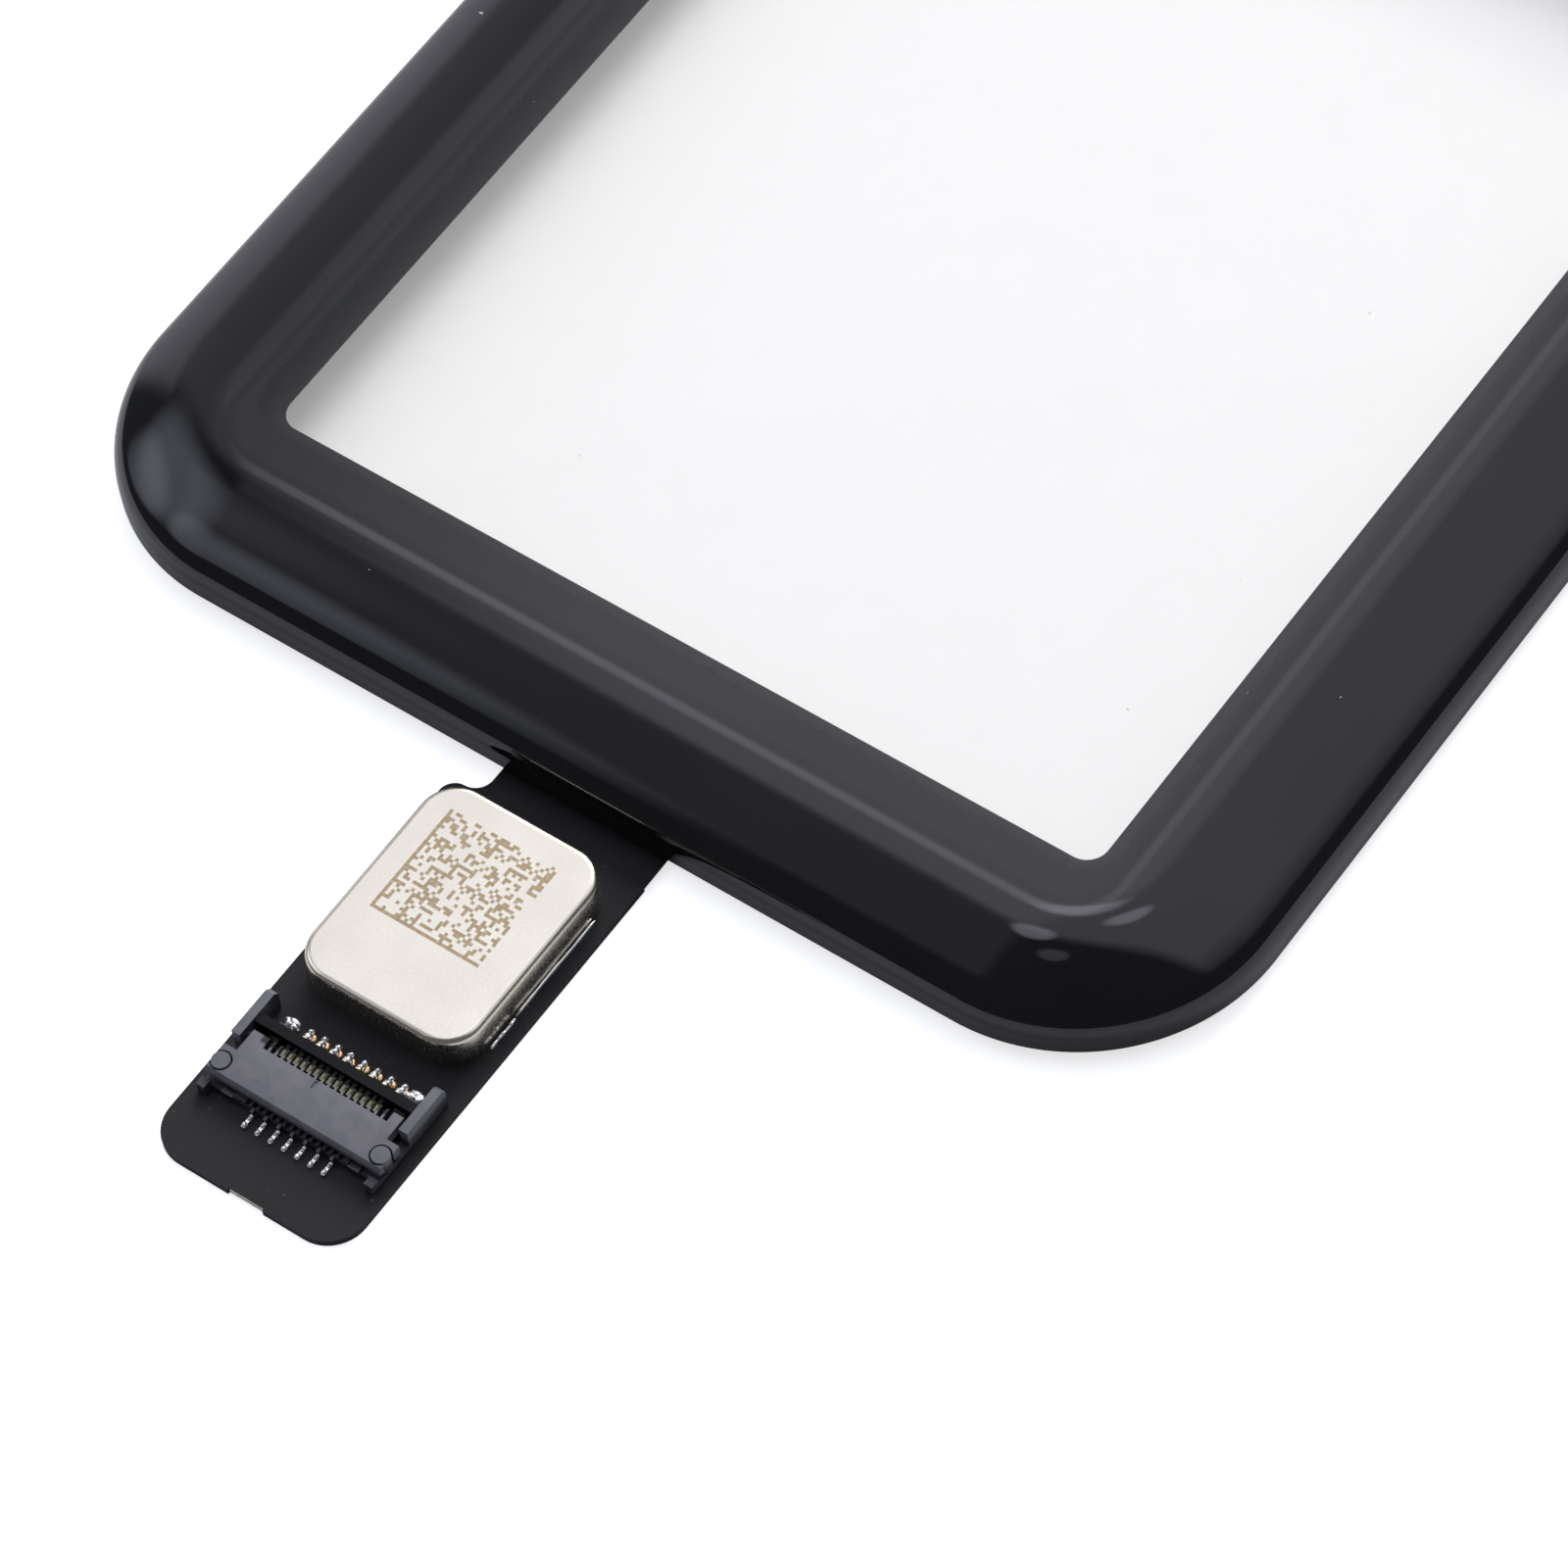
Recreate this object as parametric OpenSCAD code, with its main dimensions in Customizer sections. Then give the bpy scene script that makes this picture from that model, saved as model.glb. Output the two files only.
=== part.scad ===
// Touch panel of a smartwatch: a domed cover glass with its sensor film, and
// a flex tail that carries a shielded controller and a flip-lock connector.
// All sizes are in millimetres. +X runs along the bottom edge of the glass,
// +Y points to the top of the screen and +Z out of the front of the glass.
// The origin is the centre of the rear face of the sensor film.

/* [Cover glass] */
// Width of the glass over its ground edge
glass_w = 33.9; // [33:0.1:35]
// Height of the glass over its ground edge
glass_h = 40.25; // [39:0.05:42]
// Thickness of the glass over the window
glass_t = 1; // [0.8:0.05:1.2]
// Radius of the outline at the four corners
corner_r = 5.5; // [5:0.1:6.5]
// Width of the rolled-over border, from the flat face to the outline
crown_run = 3.05; // [2.8:0.05:3.3]
// Radius of the crown where the flat face rolls over
crown_r = 5; // [4.6:0.1:6]
// Radius of the small arc between the crown and the side
edge_r = 0.9; // [0.7:0.05:1]
// Depth of the rim below the flat rear face
rim_depth = 1.04; // [0.9:0.02:1.3]
// Width of the ground land under the rim
rim_land = 0.95; // [0.8:0.05:1.1]
// Bevel on the outer corner of the land
rim_bevel = 0.1; // [0.05:0.01:0.2]

/* [Window and layers] */
// Width of the black border at the left and right
side_border = 4.55; // [4.2:0.05:5.5]
// Width of the black border at the top and bottom
end_border = 4.675; // [4.1:0.025:5.6]
// Radius of the window's corners
window_r = 0.6; // [0.3:0.05:2]
// Thickness of the printed border
ink_t = 0.04; // [0.02:0.01:0.06]
// Thickness of the optical adhesive
adhesive_t = 0.1; // [0.08:0.01:0.15]
// Thickness of the sensor film
film_t = 0.1; // [0.08:0.01:0.15]
// How far the film reaches past the window on each side
film_margin = 0.5; // [0.3:0.05:0.7]
// Radius of the film's corners
film_r = 0.8; // [0.4:0.1:2]
// Width of the bare ledge at the film's bottom edge
ledge_w = 9; // [8:0.1:12]
// Depth of the step down to that ledge
ledge_step = 0.04; // [0.02:0.01:0.06]

/* [Flex tail] */
// Width of the tail
tail_w = 5.9; // [5.6:0.05:7]
// Length of the tail past the edge of the glass
tail_l = 13; // [12.8:0.05:15]
// Radius of the corners at the tail's end
tail_r = 1.05; // [0.4:0.05:1.4]
// How much narrower the neck is, all on the left side
neck_cut = 0.95; // [0.3:0.05:1.5]
// Length of the neck past the edge of the glass
neck_l = 0.85; // [0.7:0.05:1.1]
// Radius inside the corner of the neck
neck_r = 0.5; // [0.2:0.05:0.7]
// Thickness of the flex circuit
flex_t = 0.1; // [0.06:0.01:0.15]
// Gap between the flex and the rim that it passes under
flex_gap = 0.02; // [0.01:0.01:0.1]
// Radius of the two bends behind the glass
bend_r = 1; // [0.7:0.05:1.1]
// Thickness of the bond strip
bond_t = 0.02; // [0.01:0.005:0.03]
// Length of the bond along Y
bond_l = 0.8; // [0.6:0.05:0.9]
// Thickness of the stiffener under the tail
stiffener_t = 0.1; // [0.05:0.01:0.2]
// Width of the break-off notch in the tail's end
notch_w = 1.05; // [0.6:0.05:1.5]
// Depth of that notch
notch_d = 0.07; // [0.03:0.01:0.15]
// Place of the notch along X
notch_x = 0.15; // [-0.5:0.05:0.5]

/* [Shield] */
// Distance from the edge of the glass to the can
can_start = 1.25; // [1.2:0.05:1.4]
// How far the can is off the middle of the tail
can_x = -0.08; // [-0.1:0.01:0.1]
// Width of the can
can_w = 5.1; // [4.6:0.05:5.2]
// Length of the can
can_l = 6.3; // [5.8:0.05:6.35]
// Height of the can
can_h = 1; // [0.8:0.05:1.2]
// Sheet thickness of the can
can_t = 0.12; // [0.08:0.01:0.15]
// Radius of the can's corners, seen from above
can_r = 1; // [0.6:0.05:1.2]
// Radius of the drawn edge round the can's top
can_edge_r = 0.16; // [0.15:0.01:0.25]
// Height of the frame that the can clips over
frame_h = 0.7; // [0.5:0.05:0.75]
// Sheet thickness of the frame
frame_t = 0.1; // [0.08:0.01:0.15]
// Width of the solder line beside the can
fillet_w = 0.1; // [0.06:0.01:0.15]

/* [Controller] */
// Width of the controller chip
chip_w = 3; // [2.6:0.1:3.2]
// Length of the controller chip
chip_l = 3.4; // [3:0.1:3.6]
// Height of the controller chip
chip_h = 0.5; // [0.35:0.05:0.55]
// Length of a capacitor
cap_l = 0.6; // [0.4:0.05:0.65]
// Width and height of a capacitor
cap_w = 0.3; // [0.2:0.05:0.35]
// Number of capacitors
cap_count = 4; // [2:1:4]

/* [Connector] */
// Distance from the edge of the glass to the tips of the side arms
conn_start = 8.3; // [8.2:0.05:8.5]
// Width of the connector
conn_w = 5.3; // [5.2:0.05:5.5]
// Height of the side arms above the flex
arm_h = 0.74; // [0.7:0.02:0.8]
// Width of a side arm
arm_w = 0.26; // [0.24:0.01:0.36]
// Distance from the arm tips to the actuator's pivot
pivot_inset = 1.18; // [1.16:0.01:1.22]
// Height of the pivot above the flex
pivot_h = 0.42; // [0.41:0.01:0.45]
// Radius of the actuator's shaft
shaft_r = 0.07; // [0.06:0.005:0.08]
// Running clearance round the shaft's ends
shaft_gap = 0.02; // [0.015:0.005:0.025]
// Distance from the pivot to the comb edge of the actuator
nose_l = 0.1; // [0.08:0.01:0.12]
// Length of the actuator, from the pivot to its free edge
flap_l = 1.4; // [1.37:0.01:1.48]
// Side gap between the actuator and an arm
flap_gap = 0.13; // [0.08:0.01:0.18]
// Distance from the pivot to where the actuator widens
flap_wide_at = 0.6; // [0.56:0.01:0.66]
// Radius of the round post beside the actuator
post_r = 0.24; // [0.2:0.01:0.25]
// Height of the post above the flex
post_h = 0.64; // [0.6:0.01:0.7]
// Distance from the pivot to the posts
post_at = 1.03; // [1:0.01:1.05]
// Clearance between a post and the actuator
post_gap = 0.05; // [0.03:0.005:0.06]

/* [Contacts] */
// Distance between neighbouring contacts
pitch = 0.2; // [0.19:0.005:0.21]
// Thickness of a contact, across the row
contact_t = 0.09; // [0.07:0.005:0.1]
// Thickness of a contact's beams and feet
beam_t = 0.05; // [0.04:0.005:0.06]
// Length of a contact's foot at the free edge
front_foot = 0.36; // [0.3:0.01:0.4]
// Length of a contact's foot on the side of the mouth
rear_foot = 0.3; // [0.25:0.01:0.35]
// Side clearance of a contact in its slot
contact_gap = 0.015; // [0.01:0.005:0.02]
// How far the row is off the connector's centre
row_shift = 0.1; // [0:0.01:0.12]
// Width of the slots in the actuator
comb_w = 0.13; // [0.12:0.005:0.14]
// Slots past each end of the row
spare_slots = 2; // [0:1:2]
// Width of a hold-down strap
strap_w = 0.34; // [0.25:0.01:0.36]
// Distance from the connector's centre to a strap
strap_x = 1.9; // [1.88:0.01:1.95]

/* [Hidden] */
$fn = 64;
// A little past a face, so that cuts go right through
over = 0.5;
// Steps in each arc of a drawn outline
arc_steps = 8;

// Heights of the layers
rear_z = film_t + adhesive_t;
top_z = rear_z + glass_t;
rim_z = rear_z - rim_depth;
flex_top = rim_z - ink_t - flex_gap;
flex_low = flex_top - flex_t;
edge_y = -glass_h / 2;

// Edge profile of the glass: the crown and edge arcs meet at crown_a
crown_z = top_z - crown_r;
crown_a = asin((crown_run - edge_r) / (crown_r - edge_r));
edge_x = crown_run - edge_r;
edge_z = crown_z + (crown_r - edge_r) * cos(crown_a);
hollow_r = crown_r - glass_t;
hollow_run = crown_run - rim_land;
flat_w = glass_w - 2 * crown_run;
flat_h = glass_h - 2 * crown_run;
flat_r = corner_r - crown_run;

// Window, film, ledge and bond
window_w = glass_w - 2 * side_border;
window_h = glass_h - 2 * end_border;
film_w = window_w + 2 * film_margin;
film_h = window_h + 2 * film_margin;
ledge_end = -flat_h / 2 + ink_t;
bond_top = ledge_step - bond_t;
bond_start = -film_h / 2 - bond_t;
bond_end = bond_start - bond_l;

// The two bends that take the flex from the tail up to the bond
bend_end = bond_end - bond_t;
bend_rise = bond_top - flex_top;
bend_a = acos(1 - bend_rise / (2 * bend_r));
bend_start = bend_end - 2 * bend_r * sin(bend_a);

// Tail outline
tail_end = edge_y - tail_l;
shoulder_y = edge_y - neck_l;
neck_left = -tail_w / 2 + neck_cut;
neck_w = tail_w - neck_cut;

// Shield
can_y = edge_y - can_start - can_l / 2;
can_straight = can_l - 2 * can_r;
frame_gap = 0.02;
frame_lip = 0.35;
fillet_h = 0.12;
fillet_wall_h = 0.2;
short_fillet_l = 1.05;
cap_step = 0.72;

// Connector
arm_tip = edge_y - conn_start;
pivot_y = arm_tip - pivot_inset;
arm_in = conn_w / 2 - arm_w;
foot_z = 0.02;
floor_z = 0.03;
floor_top = 0.18;
floor_back = 0.66;
floor_front = -1.51;
comb_back = 0.53;
comb_front = 0.26;
comb_top = 0.68;
mouth_top = 0.39;
mouth_floor = floor_top + beam_t;
arm_end = -0.29;
slot_end = 0.22;
flap_top = 0.2;
flap_low = -0.12;
nose_bevel = 0.04;
gate_x = -0.1;
gate_y = -0.47;
gate_w = 0.08;
gate_l = 0.22;
gate_depth = 0.03;
front_count = 7;
row_count = 2 * front_count + 1;
row_half = (row_count - 1) / 2;
strap_half = strap_w / 2;
arm_low = pivot_h + shaft_r + shaft_gap;
arm_top = arm_low + beam_t;
spine_front = comb_front + beam_t;
spine_l = 0.1;
slot_back = spine_front + spine_l + contact_gap;
slot_top = arm_top + contact_gap;
nose_past = 0.08;
hook_dip = 0.01;
lead_root = spine_front + spine_l / 2;
front_out = floor_front - 0.07;
back_out = floor_back + 0.03;
strap_out = floor_front - 0.04;
trim = 0.02;

// The shoulder's outer corner is round as far as the neck's inner corner
shoulder_r = max(neck_cut - neck_r, trim);

// Quarter disc in the corner between +x and +y
module quarter_disc(r) {
    intersection() {
        circle(r);
        square(2 * r);
    }
}

// Rectangle with four round corners, centred
module rounded_rect(w, h, r) {
    square([w - 2 * r, h], center = true);
    square([w, h - 2 * r], center = true);
    for (i = [0:3]) {
        side_x = (i == 0 || i == 3) ? 1 : -1;
        side_y = i < 2 ? 1 : -1;
        translate([side_x * (w / 2 - r), side_y * (h / 2 - r)]) rotate(90 * i) quarter_disc(r);
    }
}

// Takes a section round a rectangle with round corners. The section's x = 0
// lies on the outline and its negative x points inward.
module sweep_round(w, h, r) {
    for (i = [0:3]) {
        reach = i % 2 == 0 ? w / 2 : h / 2;
        run = (i % 2 == 0 ? h : w) - 2 * r;
        side_x = (i == 0 || i == 3) ? 1 : -1;
        side_y = i < 2 ? 1 : -1;
        rotate(90 * i) translate([reach, run / 2, 0]) rotate([90, 0, 0]) linear_extrude(run) children();
        translate([side_x * (w / 2 - r), side_y * (h / 2 - r), 0])
            rotate(90 * i) rotate_extrude(angle = 90) translate([r, 0]) children();
    }
}

// Extrudes a section drawn in Y and Z along X, centred on x
module along_x(x, w) {
    translate([x - w / 2, 0, 0]) rotate([90, 0, 90]) linear_extrude(w) children();
}

// A flat bar in a section, from one corner to the other
module bar(from, to) {
    translate([min(from[0], to[0]), min(from[1], to[1])])
        square([abs(to[0] - from[0]), abs(to[1] - from[1])]);
}

// Points along an arc round a centre, from angle a0 to a1
function arc(centre, r, a0, a1) =
    [for (i = [0:arc_steps]) let (a = a0 + (a1 - a0) * i / arc_steps) centre + r * [cos(a), sin(a)]];

// The outer side of the border: crown, edge arc, side and bevelled foot,
// drawn from the end of the flat face outward
module crown_section() {
    polygon(concat(
        [[0, rim_z]],
        arc([0, crown_z], crown_r, 90, 90 - crown_a),
        arc([edge_x, edge_z], edge_r, 90 - crown_a, 0),
        [[crown_run, rim_z + rim_bevel], [crown_run - rim_bevel, rim_z]]
    ));
}

// The hollow behind the border, made smaller by a lining, down to z = low
module hollow_section(lining, low) {
    r = hollow_r - lining;
    wall_x = hollow_run - lining;
    polygon(concat(
        [[0, low]],
        arc([0, crown_z], r, 90, acos(wall_x / r)),
        [[wall_x, low]]
    ));
}

module cover_glass() {
    color([0.75, 0.8, 0.85, 0.4]) {
        sweep_round(glass_w, glass_h, corner_r) translate([-crown_run, 0]) difference() {
            crown_section();
            hollow_section(0, rim_z - over);
        }
        translate([0, 0, rear_z]) linear_extrude(glass_t) rounded_rect(flat_w, flat_h, flat_r);
    }
}

// Printed on the rear of the glass: a flat ring with the window in it, then
// down the inside of the rolled border and across the land under the rim
module ink_border() {
    color([0.06, 0.06, 0.07]) {
        translate([0, 0, rear_z - ink_t]) linear_extrude(ink_t) difference() {
            rounded_rect(flat_w, flat_h, flat_r);
            rounded_rect(window_w, window_h, window_r);
        }
        sweep_round(glass_w, glass_h, corner_r) translate([-crown_run, 0]) {
            difference() {
                hollow_section(0, rim_z - ink_t);
                hollow_section(ink_t, rim_z - over);
            }
            bar([hollow_run, rim_z - ink_t], [crown_run - rim_bevel, rim_z]);
        }
    }
}

// Fills the step that the printed border leaves round the window
module optical_adhesive() {
    color([0.9, 0.93, 0.95, 0.3]) {
        translate([0, 0, film_t]) linear_extrude(adhesive_t - ink_t) rounded_rect(film_w, film_h, film_r);
        translate([0, 0, rear_z - ink_t]) linear_extrude(ink_t) rounded_rect(window_w, window_h, window_r);
    }
}

// The film's bottom edge has a bare ledge, set back, where the flex is bonded
module touch_sensor_film() {
    color([0.8, 0.85, 0.9, 0.4]) {
        linear_extrude(film_t) rounded_rect(film_w, film_h, film_r);
        translate([-ledge_w / 2, ledge_end, ledge_step])
            cube([ledge_w, -film_h / 2 - ledge_end + over, film_t - ledge_step]);
    }
}

module bond_strip() {
    color([0.55, 0.5, 0.4]) translate([-ledge_w / 2 + film_r, bond_end, bond_top])
        cube([ledge_w - 2 * film_r, bond_l, bond_t]);
}

// Outline of the tail below y = top, with its shoulder and round end
module tail_outline(top, inset) {
    half = tail_w / 2 - inset;
    low = tail_end + inset;
    r = tail_r - inset;
    difference() {
        union() {
            translate([-half, low + r]) square([2 * half, shoulder_y - shoulder_r - low - r]);
            translate([-half + shoulder_r, shoulder_y - 2 * shoulder_r])
                square([2 * half - shoulder_r, 2 * shoulder_r]);
            translate([-half + shoulder_r, shoulder_y - shoulder_r]) rotate(90) quarter_disc(shoulder_r);
            translate([-half + r, low]) square([2 * half - 2 * r, r]);
            translate([half - r, low + r]) rotate(-90) quarter_disc(r);
            translate([-half + r, low + r]) rotate(180) quarter_disc(r);
        }
        translate([notch_x - notch_w / 2, low - over]) square([notch_w, notch_d + over]);
    }
    if (top > shoulder_y) {
        translate([neck_left, shoulder_y]) square([neck_w - inset, top - shoulder_y]);
        translate([neck_left - neck_r, shoulder_y]) difference() {
            square(neck_r);
            translate([0, neck_r]) circle(neck_r);
        }
    }
}

module flex_circuit() {
    mid_low = flex_low + flex_t / 2;
    mid_high = bond_top - flex_t / 2;
    neck_x = (neck_left + tail_w / 2) / 2;
    color([0.12, 0.12, 0.13]) {
        translate([0, 0, flex_low]) linear_extrude(flex_t) tail_outline(bend_start - over, 0);
        along_x(neck_x, neck_w) polygon(concat(
            [[bend_start - 2 * over, flex_top], [bend_start - 2 * over, flex_low]],
            arc([bend_start, mid_low + bend_r], bend_r + flex_t / 2, -90, -90 + bend_a),
            arc([bend_end, mid_high - bend_r], bend_r - flex_t / 2, 90 + bend_a, 90),
            [[bond_end, bond_top - flex_t], [bond_end, bond_top]],
            arc([bend_end, mid_high - bend_r], bend_r + flex_t / 2, 90, 90 + bend_a),
            arc([bend_start, mid_low + bend_r], bend_r - flex_t / 2, -90 + bend_a, -90)
        ));
        translate([-ledge_w / 2 + film_r, bond_end, bond_top - flex_t])
            cube([ledge_w - 2 * film_r, bond_l, flex_t]);
    }
}

module flex_stiffener() {
    color([0.1, 0.1, 0.1]) translate([0, 0, flex_low - stiffener_t])
        linear_extrude(stiffener_t) tail_outline(shoulder_y, 0);
}

// Section of a drawn box: a wall and a strip of its top, with the edge
// between them rounded, drawn inward from x = 0
module drawn_section(height, depth, edge) {
    translate([-edge, 0]) square([edge, height - edge]);
    translate([-edge, height - edge]) quarter_disc(edge);
    translate([-depth, 0]) square([depth - edge, height]);
}

module shield_can() {
    inner_r = can_r - can_t;
    inner_edge = can_edge_r - can_t;
    color([0.85, 0.82, 0.77]) translate([can_x, can_y, flex_top]) {
        sweep_round(can_w, can_l, can_r) difference() {
            drawn_section(can_h, can_r, can_edge_r);
            translate([-can_t, -over]) drawn_section(can_h - can_t + over, can_r, inner_edge);
        }
        translate([0, 0, can_h - can_t / 2])
            cube([can_w - 2 * can_r, can_l - 2 * can_r, can_t], center = true);
    }
}

// A bent frame inside the can: a wall with a narrow lip turned inward
module shield_frame() {
    inset = can_t + frame_gap;
    color([0.75, 0.73, 0.7]) translate([can_x, can_y, flex_top])
        sweep_round(can_w - 2 * inset, can_l - 2 * inset, can_r - inset) {
            bar([-frame_t, 0], [0, frame_h]);
            bar([-frame_lip, frame_h - frame_t], [-frame_t, frame_h]);
        }
}

// Solder that shows as a bright line at the foot of the can's right wall,
// in a long stretch and, past a small step, a short one
module shield_solder() {
    step = fillet_w / 2;
    color([0.9, 0.9, 0.88]) translate([can_x + can_w / 2, can_y, flex_top]) {
        translate([0, can_straight / 2, 0]) rotate([90, 0, 0]) linear_extrude(can_straight - short_fillet_l)
            polygon([[0, 0], [fillet_w, 0], [fillet_w - trim, fillet_h], [0, fillet_wall_h]]);
        translate([0, short_fillet_l - can_straight / 2, 0])
            rotate([90, 0, 0])
                linear_extrude(short_fillet_l)
                    polygon([[0, 0], [fillet_w + step, 0], [fillet_w, fillet_h], [0, fillet_h]]);
    }
}

module controller_chip() {
    color([0.1, 0.1, 0.1]) translate([can_x - chip_w / 2, can_y - chip_l / 2 + cap_w, flex_top])
        cube([chip_w, chip_l, chip_h]);
}

// Small capacitors in a row below the chip
module capacitors() {
    row_y = can_y - chip_l / 2 - cap_w;
    row_x = can_x - (cap_count - 1) / 2 * cap_step - cap_l / 2;
    color([0.6, 0.5, 0.4]) for (i = [0:cap_count - 1])
        translate([row_x + i * cap_step, row_y, flex_top]) cube([cap_l, cap_w, cap_w]);
}

// Connector: sections are drawn from the pivot, with heights above the flex
module at_pivot() {
    translate([0, pivot_y, flex_top]) children();
}

// Place along X of each contact of the row
function contact_x(i) = (i - row_half) * pitch + row_shift;

module connector_housing() {
    foot_l = 0.25;
    foot_w = arm_w - trim;
    rib_back = -1.04;
    rib_top = pivot_h + flap_low - foot_z;
    mouth_w = 2 * (strap_x + strap_half);
    lead_in = 0.12;
    color([0.35, 0.36, 0.39]) at_pivot() difference() {
        union() {
            along_x(0, conn_w) bar([floor_front, floor_z], [floor_back, floor_top]);
            along_x(0, 2 * arm_in) bar([comb_front, floor_top], [comb_back, comb_top]);
            along_x(0, 2 * strap_x - strap_w) bar([floor_front, floor_top], [rib_back, rib_top]);
            for (side = [-1, 1]) {
                along_x(side * (arm_in + arm_w / 2), arm_w) polygon([
                    [arm_end, floor_z],
                    [pivot_inset, floor_z],
                    [pivot_inset, arm_h - lead_in],
                    [pivot_inset - lead_in, arm_h],
                    [arm_end, arm_h]
                ]);
                translate([side * (conn_w / 2 - post_r), -post_at, floor_z])
                    cylinder(h = post_h - floor_z, r = post_r);
                along_x(side * (conn_w / 2 - foot_w / 2), foot_w)
                    bar([floor_front - foot_l, floor_z], [floor_front, 2 * floor_top]);
            }
        }
        for (i = [0:row_count - 1])
            along_x(contact_x(i), contact_t + 2 * contact_gap) {
                bar([comb_front - over, floor_top], [slot_back, slot_top]);
                bar([spine_front, floor_top], [comb_back + over, mouth_top + beam_t + contact_gap]);
                bar([floor_front - over, floor_top], [rib_back + over, rib_top + over]);
            }
        along_x(0, mouth_w) bar([comb_front + beam_t, mouth_floor], [comb_back + over, mouth_top]);
        for (side = [-1, 1])
            along_x(side * strap_x, strap_w + 2 * contact_gap)
                bar([comb_front - over, floor_top], [comb_back + over, mouth_top]);
        translate([0, 0, pivot_h]) rotate([0, 90, 0])
            cylinder(h = conn_w - arm_w, r = shaft_r + shaft_gap, center = true);
    }
}

// The flip-lock bar. Its slots leave the shaft whole, so the contacts hook it.
module connector_actuator() {
    narrow_w = 2 * (arm_in - flap_gap);
    wide_w = conn_w - 2 * trim;
    bevel = 0.08;
    slots = row_half + spare_slots;
    color([0.39, 0.39, 0.43]) at_pivot() translate([0, 0, pivot_h]) {
        difference() {
            union() {
                along_x(0, narrow_w) polygon([
                    [-flap_wide_at - bevel, flap_low],
                    [nose_l - nose_bevel, flap_low],
                    [nose_l, flap_low + nose_bevel],
                    [nose_l, flap_top - nose_bevel],
                    [nose_l - nose_bevel, flap_top],
                    [-flap_wide_at - bevel, flap_top]
                ]);
                along_x(0, wide_w) polygon([
                    [-flap_wide_at, flap_low],
                    [-flap_wide_at, flap_top],
                    [-flap_l + bevel, flap_top],
                    [-flap_l, flap_top - bevel],
                    [-flap_l, flap_low + bevel],
                    [-flap_l + 2 * bevel, flap_low]
                ]);
            }
            for (i = [-slots:slots])
                along_x(i * pitch + row_shift, comb_w)
                    bar([-slot_end, flap_low - over], [nose_l + over, flap_top + over]);
            along_x(gate_x, gate_w)
                bar([gate_y, flap_top - gate_depth], [gate_y + gate_l, flap_top + over]);
            for (side = [-1, 1])
                translate([side * (conn_w / 2 - post_r), -post_at, 0])
                    cylinder(h = 2 * over, r = post_r + post_gap, center = true);
        }
        rotate([0, 90, 0]) cylinder(h = conn_w - arm_w - 2 * shaft_gap, r = shaft_r, center = true);
    }
}

// The part that both kinds of contact share: a spine, an upper arm that hooks
// the actuator's shaft and a spring beam whose nose presses on the mating flex
module contact_body() {
    hook_far = -shaft_r - shaft_gap - beam_t;
    spine_back = spine_front + spine_l;
    nose_y = comb_back + nose_past;
    bar([spine_front, floor_top], [spine_back, arm_top]);
    bar([hook_far, arm_low], [spine_front, arm_top]);
    bar([hook_far, pivot_h - hook_dip], [hook_far + beam_t, arm_low]);
    bar([spine_back, mouth_top], [nose_y, mouth_top + beam_t]);
    bar([nose_y - beam_t, mouth_top - beam_t / 2], [nose_y, mouth_top]);
}

// A lead that leaves the spine along the floor, steps down and ends in a foot
module lead_section(start, out, foot_l) {
    toward = out > start ? 1 : -1;
    bar([start, floor_top], [out, floor_top + beam_t]);
    bar([out, foot_z], [out + toward * beam_t, floor_top + beam_t]);
    bar([out + toward * beam_t, foot_z], [out + toward * (beam_t + foot_l), foot_z + beam_t]);
}

module contact_front(n) {
    color([0.83, 0.77, 0.6]) at_pivot() along_x(contact_x(2 * n - 1), contact_t) {
        contact_body();
        lead_section(lead_root, front_out, front_foot);
    }
}

module contact_rear(n) {
    color([0.85, 0.72, 0.45]) at_pivot() along_x(contact_x(2 * n - 2), contact_t) {
        contact_body();
        lead_section(lead_root, back_out, rear_foot);
    }
}

// A flat strap along the floor that is soldered down at both of its ends
module hold_down(side) {
    color([0.85, 0.85, 0.83]) at_pivot() along_x(side * strap_x, strap_w) {
        bar([strap_out, floor_top], [spine_front, floor_top + beam_t]);
        lead_section(0, back_out, rear_foot);
    }
}

// A collar of solder round each foot, sloped on both sides
module solder_collar(x, from, to, w) {
    spread = 0.05;
    at_pivot() difference() {
        translate([x, max(from, to), 0]) rotate([90, 0, 0]) linear_extrude(abs(to - from)) polygon([
            [-w / 2 - spread, 0],
            [w / 2 + spread, 0],
            [w / 2 + contact_gap, foot_z + beam_t],
            [-w / 2 - contact_gap, foot_z + beam_t]
        ]);
        translate([x - w / 2, min(from, to) - over, foot_z]) cube([w, abs(to - from) + 2 * over, beam_t]);
    }
}

module front_solder() {
    start = front_out - beam_t;
    color([0.9, 0.9, 0.88]) for (n = [1:front_count])
        solder_collar(contact_x(2 * n - 1), start, start - front_foot, contact_t);
}

module rear_solder() {
    start = back_out + beam_t;
    color([0.9, 0.9, 0.88]) {
        for (n = [1:front_count + 1])
            solder_collar(contact_x(2 * n - 2), start, start + rear_foot, contact_t);
        for (side = [-1, 1])
            solder_collar(side * strap_x, start, start + rear_foot, strap_w);
    }
}

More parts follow.
